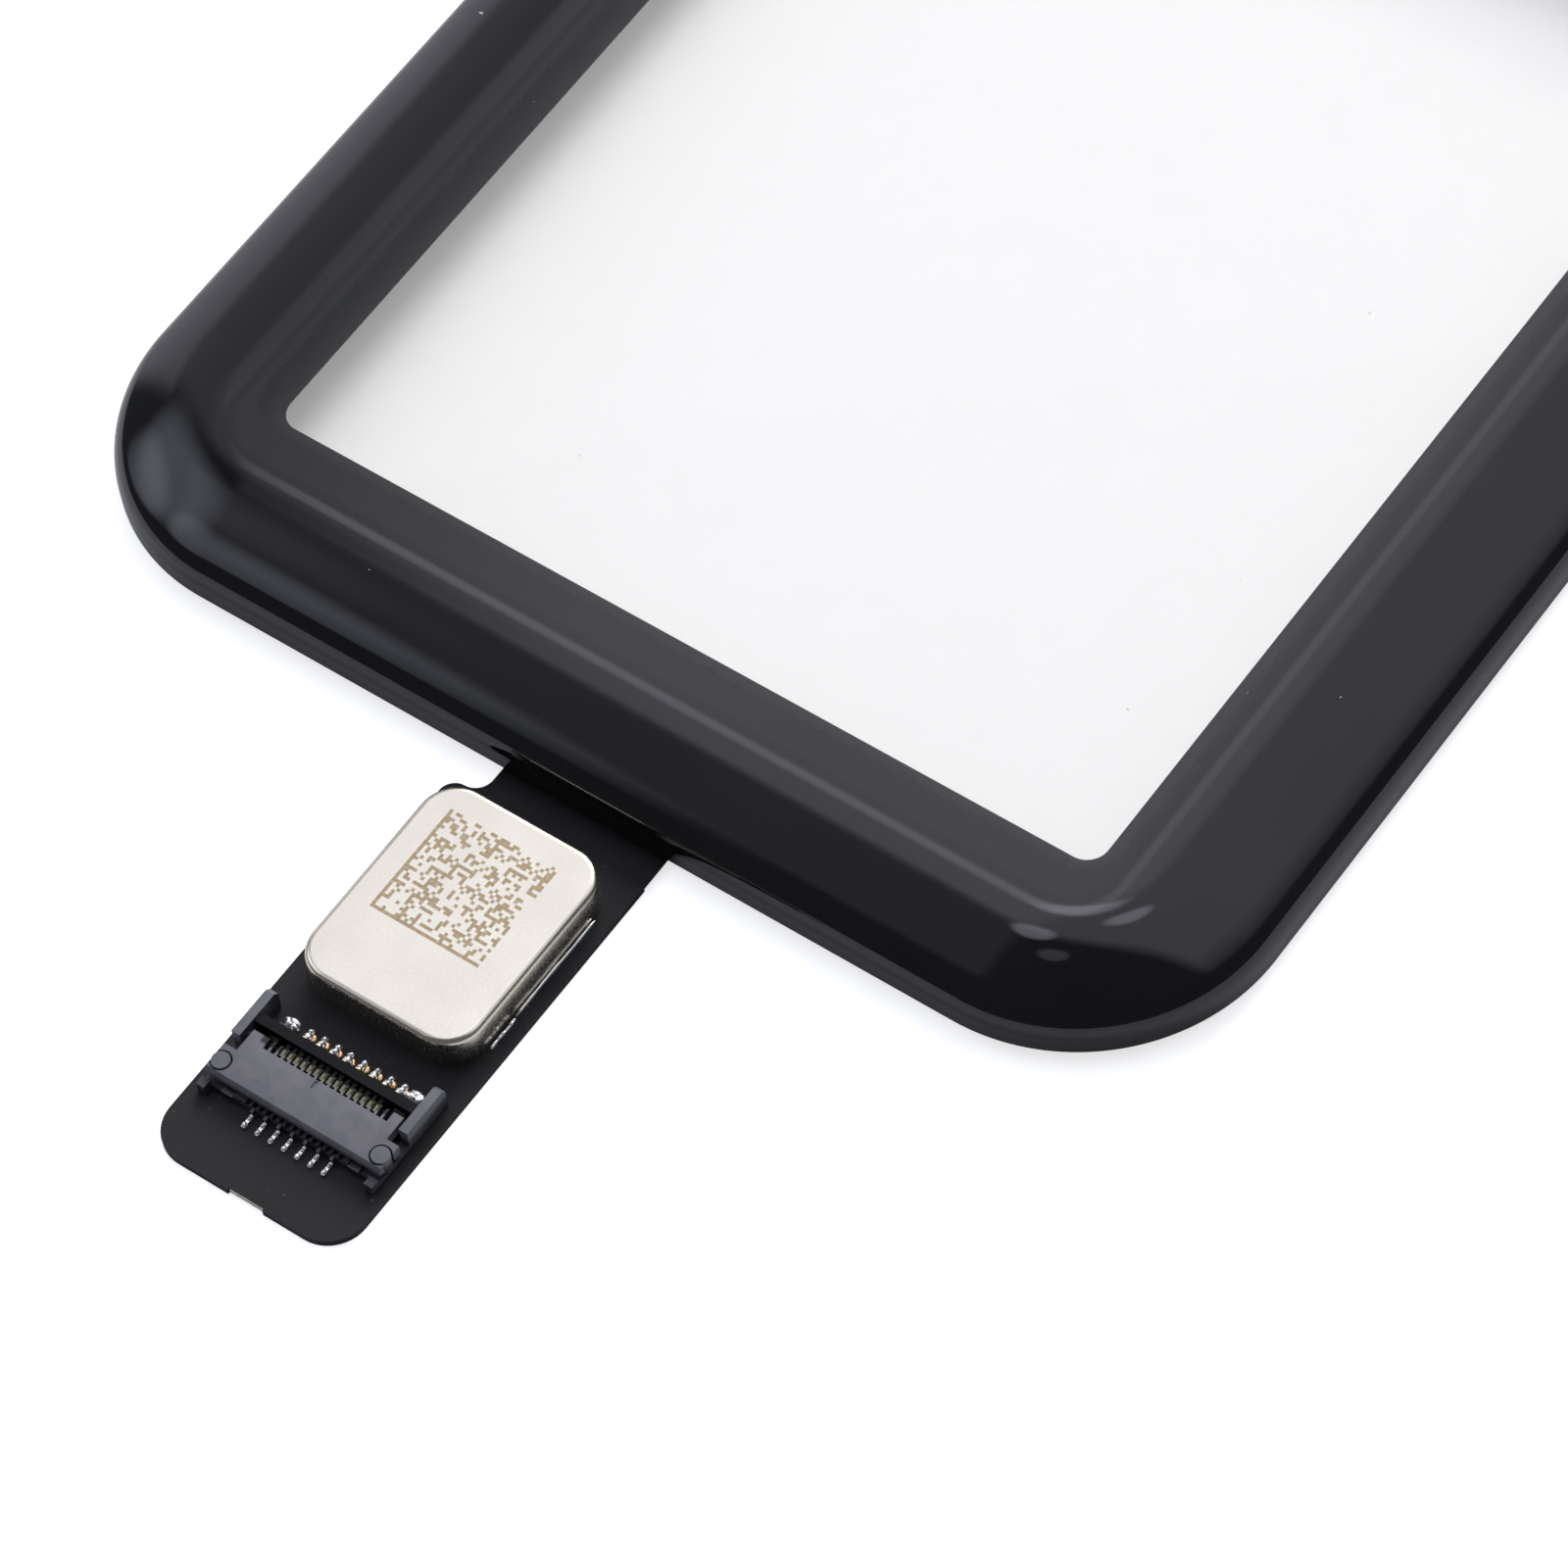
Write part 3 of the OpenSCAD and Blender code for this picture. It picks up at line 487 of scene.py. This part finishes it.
# Painted shade: the hold-downs are a darkened copy of plated metal.
SHADED_STRAP = surface("strap_metal_shaded", (0.05, 0.05, 0.052), (0.12, 0.12, 0.12), 0.4, metallic=1.0)
GILT = surface("gilt_pads", (0.75, 0.36, 0.12), (0.95, 0.66, 0.34), 0.28, metallic=1.0, grain=9000.0,
               blotch=3000.0)

LOOKS = {
    "ink_border": INK, "optical_adhesive": ADHESIVE, "touch_sensor_film": FILM, "bond_strip": BOND,
    "flex_circuit": FLEX, "flex_stiffener": STIFFENER, "shield_frame": FRAME, "shield_solder": SOLDER,
    "controller_chip": CHIP, "capacitors": CERAMIC, "hold_down_left": SHADED_STRAP, "hold_down_right": SHADED_STRAP,
    "front_solder": SOLDER, "rear_solder": SOLDER, "cover_glass": GLASS, "shield_can": CAN,
    "connector_housing": HOUSING, "connector_actuator": FLAP,
}


def dress(o, m):
    if not o.material_slots:
        o.data.materials.append(m)
    for s in o.material_slots:
        s.material = m


for name, o in nodes.items():
    dress(o, CONTACT if name.startswith("contact_") else LOOKS[name])

# A renderer lets light through a short row of clear layers only, so the adhesive is left out of the row
nodes["optical_adhesive"].visible_shadow = False
nodes["optical_adhesive"].visible_diffuse = False


# mesh helpers
def arc(cx, cz, r, a0, a1, steps):
    out = []
    for i in range(steps + 1):
        a = math.radians(a0 + (a1 - a0) * i / steps)
        out.append((cx + r * math.cos(a), cz + r * math.sin(a)))
    return out


def outline(w, h, r, offset, steps):
    """Points of a rounded rectangle moved outward by offset, with as many corner steps for any offset."""
    pts = []
    for i in range(4):
        sx = 1 if i in (0, 3) else -1
        sy = 1 if i < 2 else -1
        cx, cy = sx * (w / 2 - r), sy * (h / 2 - r)
        for j in range(steps + 1):
            a = math.radians(90 * i + 90 * j / steps)
            pts.append((cx + (r + offset) * math.cos(a), cy + (r + offset) * math.sin(a)))
    return pts


def band(bm, rings):
    """Joins each closed ring of points to the next with a band of faces."""
    n = len(rings[0])
    for a, b in zip(rings, rings[1:]):
        for i in range(n):
            bm.faces.new((a[i], a[(i + 1) % n], b[(i + 1) % n], b[i]))


def piece(name, bm, angle=30):
    """The object made from a bmesh, smooth but for edges sharper than the angle."""
    mesh = bpy.data.meshes.new(name)
    bm.to_mesh(mesh)
    bm.free()
    for p in mesh.polygons:
        p.use_smooth = True
    mesh.set_sharp_from_angle(angle=math.radians(angle))
    o = bpy.data.objects.new(name, mesh)
    bpy.context.scene.collection.objects.link(o)
    return o


def swept_shell(name, w, h, r, section, steps):
    """Takes a section of (offset, height) pairs round a rounded rectangle and caps its two ends flat."""
    bm = bmesh.new()
    rings = []
    for offset, z in section:
        points = outline(w, h, r, offset, steps)
        rings.append([bm.verts.new((x * MM, y * MM, z * MM)) for x, y in points])
    band(bm, rings)
    bm.faces.new(rings[0][::-1])
    bm.faces.new(rings[-1])
    bmesh.ops.recalc_face_normals(bm, faces=bm.faces)
    return piece(name, bm)


def put(o, m, body, slot, *replaced):
    """Gives a piece its material and the body it moves with, and hides the CAD nodes it replaces; slot is not
    used.
    """
    dress(o, m)
    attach(o, body)
    if replaced:
        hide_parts(*replaced)


def softened(node, name, width, segments=2):
    """A copy of a CAD node with its flat faces joined and its edges slightly rounded."""
    bm = bmesh.new()
    bm.from_mesh(nodes[node].data)
    bmesh.ops.remove_doubles(bm, verts=bm.verts, dist=2e-7)
    bmesh.ops.dissolve_limit(bm, angle_limit=math.radians(0.5), verts=bm.verts, edges=bm.edges)
    sharp = [e for e in bm.edges if len(e.link_faces) == 2 and e.calc_face_angle(0) > math.radians(40)]
    bmesh.ops.bevel(bm, geom=sharp, offset=width * MM, segments=segments, profile=0.5, affect="EDGES",
                    clamp_overlap=True, offset_type="OFFSET")
    return piece(name, bm, 20)


# cover glass, finely swept
SKIN = 0.002
crown_z = TOP_Z - CROWN_R
crown_a = math.degrees(math.asin((CROWN_RUN - EDGE_R) / (CROWN_R - EDGE_R)))
edge_x = CROWN_RUN - EDGE_R
edge_z = crown_z + (CROWN_R - EDGE_R) * math.cos(math.radians(crown_a))
hollow_r = CROWN_R - GLASS_T - SKIN
hollow_run = CROWN_RUN - RIM_LAND - SKIN
section = [(-0.05, TOP_Z)] + arc(0, crown_z, CROWN_R, 90, 90 - crown_a, 22)
section += arc(edge_x, edge_z, EDGE_R, 90 - crown_a, 0, 18)[1:]
section += [(CROWN_RUN, RIM_Z + RIM_BEVEL), (CROWN_RUN - RIM_BEVEL, RIM_Z), (hollow_run, RIM_Z)]
inner_a = math.degrees(math.acos(hollow_run / hollow_r))
section += arc(0, crown_z, hollow_r, inner_a, 90, 16) + [(-0.05, crown_z + hollow_r)]
flat = [(x - CROWN_RUN, z) for x, z in section]
glass = swept_shell("glass_cover", GLASS_W, GLASS_H, CORNER_R, flat, 40)
put(glass, GLASS, "panel", "glass", "cover_glass")


# printed border, finely swept
def ink_print(name, steps):
    """The print behind the glass, as a ring of faces that starts and ends at the edge of the window."""
    bm = bmesh.new()
    low_r, wall = CROWN_R - GLASS_T - INK_T, CROWN_RUN - RIM_LAND - INK_T
    outer_r, outer_wall = CROWN_R - GLASS_T, CROWN_RUN - RIM_LAND
    outer_a = math.degrees(math.acos(outer_wall / outer_r))
    low_a = math.degrees(math.acos(wall / low_r))
    profile = arc(0, crown_z, outer_r, 90, outer_a, 20)
    profile += [(outer_wall, RIM_Z), (CROWN_RUN - RIM_BEVEL, RIM_Z)]
    profile += [(CROWN_RUN - RIM_BEVEL, RIM_Z - INK_T), (wall, RIM_Z - INK_T)]
    profile += arc(0, crown_z, low_r, low_a, 90, 20)
    rings = [(outline(WINDOW_W, WINDOW_H, WINDOW_R, 0, steps), REAR_Z)]
    rings += [(outline(GLASS_W, GLASS_H, CORNER_R, out - CROWN_RUN, steps), z) for out, z in profile]
    rings += [(outline(WINDOW_W, WINDOW_H, WINDOW_R, 0, steps), REAR_Z - INK_T)]
    loops = [[bm.verts.new((x * MM, y * MM, z * MM)) for x, y in points] for points, z in rings]
    band(bm, loops + loops[:1])
    bmesh.ops.recalc_face_normals(bm, faces=bm.faces)
    return piece(name, bm)


put(ink_print("ink_print", 40), INK, "panel", "black_ink", "ink_border")

# shield can, finely swept
CAP_IN = CAN_R - 0.02
section = [(-0.0, 0.0)] + arc(-CAN_EDGE_R, CAN_H - CAN_EDGE_R, CAN_EDGE_R, 0, 90, 10)
inner = CAN_EDGE_R - CAN_T
section += [(-CAN_EDGE_R - 0.01, CAN_H), (-CAP_IN, CAN_H)]
under = [(-CAP_IN, CAN_H - CAN_T), (-CAN_EDGE_R, CAN_H - CAN_T)]
under += arc(-CAN_T - inner, CAN_H - CAN_T - inner, inner, 90, 0, 4)[1:] + [(-CAN_T, 0.0)]
outer = [(x, z + FLEX_TOP) for x, z in section]
lining = [(x, z + FLEX_TOP) for x, z in under]


def drawn_box(name):
    """The can as one drawn sheet: an outer and an inner skin, joined at the open rim."""
    bm = bmesh.new()

    def skin(profile):
        rings = []
        for offset, z in profile:
            pts = outline(CAN_W, CAN_L, CAN_R, offset, 20)
            rings.append([bm.verts.new(((x + CAN_X) * MM, (y + CAN_Y) * MM, z * MM)) for x, y in pts])
        band(bm, rings)
        return rings

    top = skin(outer)
    low = skin(lining)
    bm.faces.new(top[-1])
    bm.faces.new(low[0][::-1])
    band(bm, [low[-1], top[0]])
    bmesh.ops.recalc_face_normals(bm, faces=bm.faces)
    return piece(name, bm)


put(drawn_box("can_cover"), CAN, "panel", "can_steel", "shield_can")

# connector plastics with softened edges
HOUSING_EDGE, FLAP_EDGE = 0.012, 0.014
body = softened("connector_housing", "housing_body", HOUSING_EDGE)
put(body, HOUSING, "panel", "housing_plastic", "connector_housing")
lever = softened("connector_actuator", "flap_lever", FLAP_EDGE)
put(lever, FLAP, "flap", "flap_plastic", "connector_actuator")


# solder
rng = random.Random(41)


UNEVEN = 0.12


def blob(bm, x, y, z, half):
    """A flattened, slightly uneven drop of solder, with mm sizes."""
    made = bmesh.ops.create_icosphere(bm, subdivisions=3, radius=1.0)["verts"]
    a, b, c = (rng.uniform(0, 6.28) for _ in range(3))
    for v in made:
        p = v.co.copy()
        k = 1 + UNEVEN * math.sin(3 * p.x + a) * math.sin(4 * p.y + b) * math.cos(2 * p.z + c)
        height = max(p.z, -0.15)
        v.co = Vector((x + p.x * half[0] * k, y + p.y * half[1] * k, z + height * half[2] * k)) * MM


def contact_x(i):
    return (i - FRONT_COUNT) * PITCH + ROW_SHIFT


def solder_piece(name, metal, slot, drops, *replaced):
    bm = bmesh.new()
    for d in drops:
        blob(bm, *d)
    put(piece(name, bm, 60), metal, "panel", slot, *replaced)


front_y = PIVOT_Y - FRONT_LEAD - FRONT_FOOT - COLLAR
rear_y = PIVOT_Y + REAR_LEAD + REAR_FOOT + COLLAR
pad_z = FLEX_TOP + 0.015
drops = []
for n in range(1, FRONT_COUNT + 1):
    x = contact_x(2 * n - 1)
    drops.append((x, front_y - 0.09, pad_z, (0.065, 0.07, 0.11)))
    drops.append((x - 0.01, front_y - 0.28, pad_z, (0.08, 0.10, 0.10)))
solder_piece("front_joints", SOLDER, "solder", drops, "front_solder")
drops, gilt = [], []
for n in range(1, FRONT_COUNT + 2):
    x = contact_x(2 * n - 2)
    drops.append((x, rear_y + 0.08, pad_z, (0.125, 0.15, 0.18)))
    drops.append((x + rng.uniform(-0.03, 0.02), rear_y + 0.25, pad_z, (0.095, 0.11, 0.13)))
    gilt.append((x + 0.09, rear_y + rng.uniform(0.10, 0.16), pad_z - 0.01, (0.10, 0.13, 0.05)))
for side in (-1, 1):
    drops.append((side * 1.78, rear_y + 0.13, pad_z, (0.17, 0.13, 0.14)))
    drops.append((side * 1.98, rear_y + 0.18, pad_z, (0.14, 0.15, 0.12)))
    drops.append((side * 1.86, rear_y + 0.27, pad_z, (0.20, 0.09, 0.08)))
solder_piece("rear_joints", LIT_SOLDER, "solder", drops, "rear_solder")
solder_piece("rear_gilding", GILT, "contact_gold", gilt)


def bead(bm, x, y0, y1, radius):
    """A wavering half-round bead of solder along Y."""
    steps, around = 48, 10
    phase = rng.uniform(0, 6)
    rings = []
    for i in range(steps + 1):
        t = i / steps
        y = y0 + (y1 - y0) * t
        ends = min(1.0, 12 * min(t, 1 - t) + 0.3)
        r = radius * (1 + 0.10 * math.sin(17 * t + phase) + 0.08 * math.sin(41 * t)) * ends
        sway = 0.006 * math.sin(9 * t + phase)
        ring = []
        for j in range(around):
            a = math.pi * j / (around - 1)
            place = Vector((x + sway + r * math.cos(a), y, FLEX_TOP + 1.5 * r * math.sin(a)))
            ring.append(bm.verts.new(place * MM))
        rings.append(ring)
    band(bm, rings)
    bm.faces.new(rings[0])
    bm.faces.new(rings[-1][::-1])


BEAD_R, FAR_BEAD_R, BEAD_GAP, FAR_BEAD_GAP, KINK = 0.046, 0.048, 0.055, 0.10, 1.05
seam = bmesh.new()
wall_x, top_y, low_y = CAN_X + CAN_W / 2, CAN_Y + CAN_L / 2 - CAN_R, CAN_Y - CAN_L / 2 + CAN_R
bead(seam, wall_x + BEAD_GAP, top_y - 0.02, low_y + KINK + 0.03, BEAD_R)
bead(seam, wall_x + FAR_BEAD_GAP, low_y + KINK, low_y + 0.02, FAR_BEAD_R)
bmesh.ops.recalc_face_normals(seam, faces=seam.faces)
put(piece("can_bead", seam, 60), LIT_SOLDER, "panel", "solder", "shield_solder")

# the flex's pale core, seen in the end notch
NOTCH_X, NOTCH_DEPTH, FRINGE_DROP = 0.15, 0.068, 0.02
fringe = bmesh.new()
bmesh.ops.create_grid(fringe, x_segments=24, y_segments=2, size=0.5)
for v in fringe.verts:
    wobble = 0.012 * math.sin(9 * v.co.x + 1.3) * math.cos(17 * v.co.x)
    down = 0.5 - v.co.y
    v.co = Vector((NOTCH_X + v.co.x, EDGE_Y - TAIL_L + NOTCH_DEPTH - 0.03 * down + 0.3 * wobble,
                   FLEX_TOP - FRINGE_DROP - 0.05 * down)) * MM
put(piece("notch_fringe", fringe), FRINGE, "panel", "flex_black")


# dust on the glass
def crown_height(x, y):
    """Height of the glass at a place in mm, or None off the glass."""
    qx = abs(x) - (GLASS_W / 2 - CORNER_R)
    qy = abs(y) - (GLASS_H / 2 - CORNER_R)
    d = math.hypot(max(qx, 0), max(qy, 0)) + min(max(qx, qy), 0) - CORNER_R + CROWN_RUN
    if d <= 0:
        return TOP_Z
    if d < CROWN_R * math.sin(math.radians(crown_a)):
        return crown_z + math.sqrt(CROWN_R ** 2 - d ** 2)
    if d < CROWN_RUN:
        return edge_z + math.sqrt(max(EDGE_R ** 2 - (d - edge_x) ** 2, 0))
    return None


SPECK_SINK = 0.004


def specks(name, places):
    """Flat specks on the glass, each from a place, a size and how much longer than wide it is."""
    bm = bmesh.new()
    for x, y, size, stretch in places:
        z = crown_height(x, y)
        if z is None or z > TOP_Z - SPECK_SINK:
            z = TOP_Z - SPECK_SINK
        made = bmesh.ops.create_icosphere(bm, subdivisions=2, radius=1.0)["verts"]
        turn_by = rng.uniform(0, math.pi)
        for v in made:
            px, py = v.co.x * size * stretch * rng.uniform(0.7, 1.1), v.co.y * size * rng.uniform(0.7, 1.1)
            x1 = px * math.cos(turn_by) - py * math.sin(turn_by)
            y1 = px * math.sin(turn_by) + py * math.cos(turn_by)
            v.co = Vector(((x + x1) * MM, (y + y1) * MM, (z + v.co.z * 0.003) * MM))
    put(piece(name, bm, 80), DUST, "panel", "glass")


seen = [(-15.9, 4.5, 0.06, 2.2), (-15.6, 1.0, 0.07, 1.6), (-15.7, -2.4, 0.05, 2.6), (9.2, 1.4, 0.03, 1.3)]
rest = []
for _ in range(26):
    rest.append((rng.uniform(-16, 16), rng.uniform(-19, 19), rng.uniform(0.008, 0.02), rng.uniform(1, 2.2)))
specks("dust_specks", seen + rest)

# floor
floor_mesh = bpy.data.meshes.new("floor")
half = 1.6
z = TABLE_Z * MM
corners = [(-half, -half, z), (half, -half, z), (half, half, z), (-half, half, z)]
floor_mesh.from_pydata(corners, [], [(0, 1, 2, 3)])
floor = bpy.data.objects.new("floor", floor_mesh)
bpy.context.scene.collection.objects.link(floor)
dress(floor, PAPER)

# light
world = bpy.data.worlds.new("studio")
bpy.context.scene.world = world
world.use_nodes = True
world.cycles.sampling_method = "MANUAL"
world.cycles.sample_map_resolution = 256
g = Graph(world.node_tree)
direction = g.node("ShaderNodeTexCoord").outputs["Generated"]
direction = g.vec("NORMALIZE", direction)


def lobe(axis, start, full, strength):
    """Light from around a direction: none beyond start degrees off it, all of it within full degrees."""
    d = g.vec("DOT_PRODUCT", direction, tuple(Vector(axis).normalized()))
    return g.ramp(d, math.cos(math.radians(start)), math.cos(math.radians(full)), 0.0, strength)


axes = g.node("ShaderNodeSeparateXYZ")
g.feed(axes.inputs[0], direction)


def panel(left, right_end, near, far, strength):
    """A soft box overhead, given by (start, full) pairs of the direction's x and y at its four edges."""
    x, y = axes.outputs[0], axes.outputs[1]
    across = g.math("MULTIPLY", g.ramp(x, *left, 0.0, strength), g.ramp(x, *right_end))
    along = g.math("MULTIPLY", g.ramp(y, *near), g.ramp(y, *far))
    return g.math("MULTIPLY", across, along)


PANELS = [
    ((-0.50, -0.39), (0.75, 0.45), (0.02, 0.12), (0.90, 0.75), 0.85),
    ((-0.47, -0.40), (-0.22, -0.30), (0.06, 0.14), (0.60, 0.50), 0.35),
    ((-2.0, -1.5), (-0.38, -0.48), (0.18, 0.30), (0.90, 0.80), 0.42),
    ((-2.0, -1.5), (-0.80, -0.86), (0.15, 0.25), (0.70, 0.60), 0.40),
    ((-0.68, -0.60), (-0.22, -0.30), (-0.52, -0.45), (0.10, 0.02), 0.25),
    ((-0.50, -0.45), (-0.22, -0.25), (0.27, 0.30), (0.375, 0.345), 0.55),
]
SPOTS = [
    ((-0.24, 0.05, 0.97), 4.5, 2, 2.0),
    ((-0.11, 0.27, 0.96), 4, 1.5, 1.8),
    ((-0.27, 0.32, 0.91), 4, 1.5, 1.4),
    ((-0.10, -0.10, 0.99), 4, 2, 0.6),
]
SKY = [
    ((-0.72, -0.12, 0.68), 22, 8, 1.20),
    ((-0.86, -0.20, 0.48), 16, 6, 0.80),
    ((-0.55, -0.45, 0.70), 12, 4, 1.05),
]


def added(parts):
    total = parts[0]
    for part in parts[1:]:
        total = g.math("ADD", total, part)
    return total


white = added([panel(*p) for p in PANELS] + [lobe(*p) for p in SPOTS])
blue = added([lobe(*p) for p in SKY])
PANEL_TINT, SKY_TINT, ROOM_TINT = (0.94, 0.95, 1.08), (0.88, 0.91, 1.08), (0.125, 0.131, 0.145)
total = g.vec("ADD", g.vec("SCALE", PANEL_TINT, scale=white), g.vec("SCALE", SKY_TINT, scale=blue))
total = g.vec("ADD", total, ROOM_TINT)
background = g.node("ShaderNodeBackground")
g.feed(background.inputs["Color"], total)
background.inputs["Strength"].default_value = 1.0
world_out = g.node("ShaderNodeOutputWorld")
g.tree.links.new(background.outputs[0], world_out.inputs["Surface"])


def area(name, place, size, power, target=(0, -0.01, 0)):
    """A soft rectangular light that faces the target."""
    data = bpy.data.lights.new(name, "AREA")
    data.shape = "RECTANGLE"
    data.size, data.size_y = size
    data.energy = power
    o = bpy.data.objects.new(name, data)
    o.location = place
    o.rotation_euler = (Vector(target) - Vector(place)).to_track_quat("-Z", "Y").to_euler()
    bpy.context.scene.collection.objects.link(o)


KEY_PLACE, KEY_SIZE, KEY_WATTS = (-0.13, 0.50, 0.34), (0.40, 0.30), 3.5
area("soft_key", KEY_PLACE, KEY_SIZE, KEY_WATTS)
